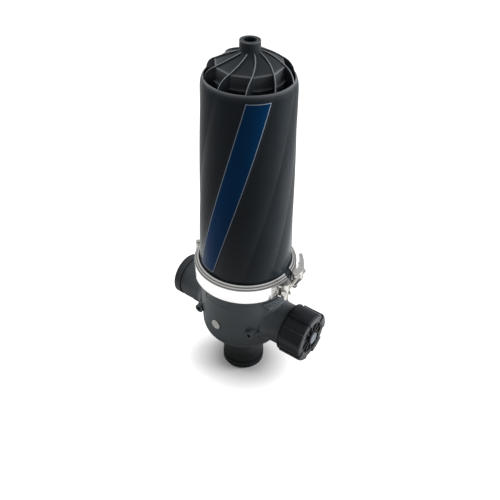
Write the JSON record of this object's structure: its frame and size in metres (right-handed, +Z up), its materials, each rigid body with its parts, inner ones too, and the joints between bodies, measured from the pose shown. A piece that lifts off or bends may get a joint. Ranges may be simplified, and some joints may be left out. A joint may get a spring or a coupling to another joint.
{
  "type": "disc filter",
  "caption": "Upright disc filter for a water line: ribbed plastic cover on a T-shaped grooved base, quick-release steel V-band clamp and a side port closed by a lobed hand nut.",
  "frame": {"origin": "centre of the bottom port's end face, which is the lowest point", "axes": "+Z up along the housing's axis to the vent nozzle; +X towards the capped side port, -X out of the open side port"},
  "size_m": [0.3282, 0.2028, 0.7255],
  "materials": {
    "base_plastic": "charcoal glass-filled plastic, satin",
    "cover_plastic": "near-black glass-filled plastic, satin",
    "seal_rubber": "black rubber",
    "label_film": "navy printed film, left without lettering",
    "badge_plastic": "off-white disc, left blank",
    "plug_plastic": "black plastic",
    "element_plastic": "black moulded plastic",
    "disc_plastic": "red grooved discs",
    "band_steel": "bright polished stainless sheet",
    "bracket_steel": "pressed stainless sheet",
    "lever_steel": "pressed stainless sheet, satin",
    "bolt_steel": "zinc-plated steel",
    "hub_plastic": "grey moulded plastic",
    "nut_plastic": "black moulded plastic, semi-gloss",
    "knob_plastic": "black moulded plastic"
  },
  "bodies": {
    "housing": {"base_body": "base_plastic", "cover": "cover_plastic", "cover_seal": "seal_rubber", "label": "label_film", "badge": "badge_plastic", "tap_plugs": "plug_plastic", "element_socket": "element_plastic", "element_seal": "seal_rubber", "helix_ring": "element_plastic", "spindle": "element_plastic", "disc_stack": "disc_plastic", "stud": "bolt_steel", "clamp_back_band": "band_steel", "hinge_knuckle_back": "bracket_steel", "hinge_pin": "bolt_steel", "back_bracket": "bracket_steel", "back_rivets": "bolt_steel", "pivot_pins": "bolt_steel"},
    "front_clamp": {"clamp_front_band": "band_steel", "hinge_knuckles_front": "bracket_steel", "front_bracket": "bracket_steel", "front_rivets": "bolt_steel"},
    "lever": {"lever": "lever_steel"},
    "bolt": {"crosshead": "bolt_steel", "t_bolt": "bolt_steel", "trunnion": "bolt_steel", "clamp_washer": "bolt_steel", "clamp_nut": "bolt_steel"},
    "plug": {"port_plug": "plug_plastic", "plug_hub": "hub_plastic", "port_seal": "seal_rubber"},
    "nut": {"hand_nut": "nut_plastic"},
    "press": {"press_plate": "element_plastic"},
    "knob": {"knob": "knob_plastic", "knob_washer": "bolt_steel"}
  },
  "joints": [
    {"name": "lever_swing", "type": "hinge", "parent": "housing", "child": "lever", "pos_m": [0.10706, 0.01707, 0.2672], "axis": [0, 0, -1], "range_deg": [0, 110]},
    {"name": "bolt_swing", "type": "hinge", "parent": "lever", "child": "bolt", "pos_m": [0.10484, 0.03795, 0.2672], "axis": [0, 0, 1], "range_deg": [0, 155]},
    {"name": "front_clamp_swing", "type": "hinge", "parent": "housing", "child": "front_clamp", "pos_m": [-0.10557, -0.01861, 0.2672], "axis": [0, 0, -1], "range_deg": [0, 5.6]},
    {"name": "nut_turn", "type": "hinge", "parent": "plug", "child": "nut", "pos_m": [0.15, 0, 0.1582], "axis": [1, 0, 0], "range_deg": [0, 1440]},
    {"name": "plug_slide", "type": "slide", "parent": "housing", "child": "plug", "axis": [1, 0, 0], "range_m": [0, 0.0201]},
    {"name": "knob_turn", "type": "hinge", "parent": "press", "child": "knob", "pos_m": [0, 0, 0.65], "axis": [0, 0, 1], "range_deg": [0, 1080]},
    {"name": "press_slide", "type": "slide", "parent": "housing", "child": "press", "axis": [0, 0, 1], "range_m": [0, 0.0061]}
  ],
  "couplings": [
    {"joint": "bolt_swing", "follows": "lever_swing", "ratio": 1.4},
    {"joint": "front_clamp_swing", "follows": "lever_swing", "ratio": 0.05},
    {"joint": "plug_slide", "follows": "nut_turn", "m_per_rad": 0.00079577},
    {"joint": "press_slide", "follows": "knob_turn", "m_per_rad": 0.00031831}
  ]
}
